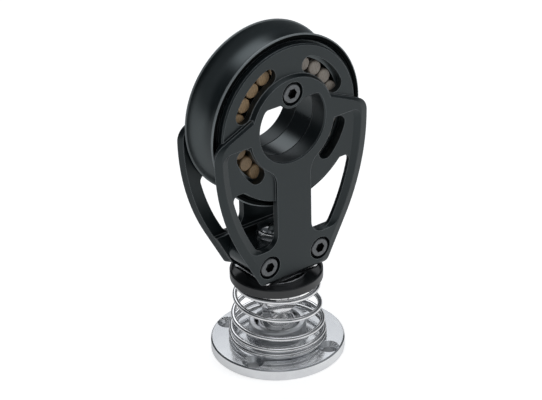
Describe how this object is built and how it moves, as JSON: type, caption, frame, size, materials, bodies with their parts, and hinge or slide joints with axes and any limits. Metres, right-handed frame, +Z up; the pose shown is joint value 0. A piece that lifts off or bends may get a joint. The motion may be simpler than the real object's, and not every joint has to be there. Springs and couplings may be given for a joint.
{
  "type": "stand-up pulley block",
  "caption": "Deck-standing rope block: grooved sheave on rollers between skeleton cheeks, on a swivel and toggle held upright by a conical spring over a round bolted flange.",
  "frame": {"origin": "centre of the flange's underside, on the deck", "axes": "+Z up from the deck; the sheave turns about Y at rest, and the counterbored cheek faces -Y"},
  "size_m": [0.0782, 0.0578, 0.1492],
  "materials": {
    "polished_steel": "mirror-polished stainless",
    "spring_steel": "bright drawn stainless wire",
    "screw_steel": "dark satin stainless",
    "black_anodised": "satin black anodised",
    "black_plastic": "fine matte",
    "tan_plastic": "satin moulded",
    "white_plastic": "satin moulded"
  },
  "bodies": {
    "base": {"base_flange": "polished_steel", "lower_pin": "polished_steel", "spring": "spring_steel"},
    "toggle": {"ball_toggle": "polished_steel"},
    "stem": {"swivel_fork": "polished_steel", "upper_pin": "polished_steel", "spring_cup": "black_plastic", "swivel_washer": "polished_steel", "swivel_nut": "polished_steel"},
    "block": {"head_block": "polished_steel", "swivel_bush": "black_plastic", "cheek_near": "black_anodised", "cheek_far": "black_anodised", "hub": "black_anodised", "cheek_screws": "screw_steel"},
    "sheave": {"sheave": "black_anodised"},
    "rollers": {"rollers": "tan_plastic"},
    "near_balls": {"side_balls_near": "white_plastic", "ball_cage_near": "black_plastic"},
    "far_balls": {"side_balls_far": "white_plastic", "ball_cage_far": "black_plastic"}
  },
  "joints": [
    {"name": "lower_lean", "type": "hinge", "parent": "base", "child": "toggle", "pos_m": [0, 0, 0.008], "axis": [1, 0, 0], "range_deg": [-30, 30], "stiffness_Nm_per_rad": 3, "deforming": ["spring"]},
    {"name": "upper_lean", "type": "hinge", "parent": "toggle", "child": "stem", "pos_m": [0, 0, 0.027], "axis": [0, 1, 0], "range_deg": [-30, 30], "stiffness_Nm_per_rad": 3, "deforming": ["spring"]},
    {"name": "swivel", "type": "hinge", "parent": "stem", "child": "block", "pos_m": [0, 0, 0.055], "axis": [0, 0, 1], "continuous": true},
    {"name": "sheave_spin", "type": "hinge", "parent": "block", "child": "sheave", "pos_m": [0, 0, 0.1117], "axis": [0, 1, 0], "continuous": true},
    {"name": "roller_orbit", "type": "hinge", "parent": "block", "child": "rollers", "pos_m": [0, 0, 0.1117], "axis": [0, 1, 0], "continuous": true},
    {"name": "near_ball_orbit", "type": "hinge", "parent": "block", "child": "near_balls", "pos_m": [0, 0, 0.1117], "axis": [0, 1, 0], "continuous": true},
    {"name": "far_ball_orbit", "type": "hinge", "parent": "block", "child": "far_balls", "pos_m": [0, 0, 0.1117], "axis": [0, 1, 0], "continuous": true}
  ],
  "couplings": [
    {"joint": "roller_orbit", "follows": "sheave_spin", "ratio": 0.5664},
    {"joint": "near_ball_orbit", "follows": "sheave_spin", "ratio": 0.5},
    {"joint": "far_ball_orbit", "follows": "sheave_spin", "ratio": 0.5}
  ]
}
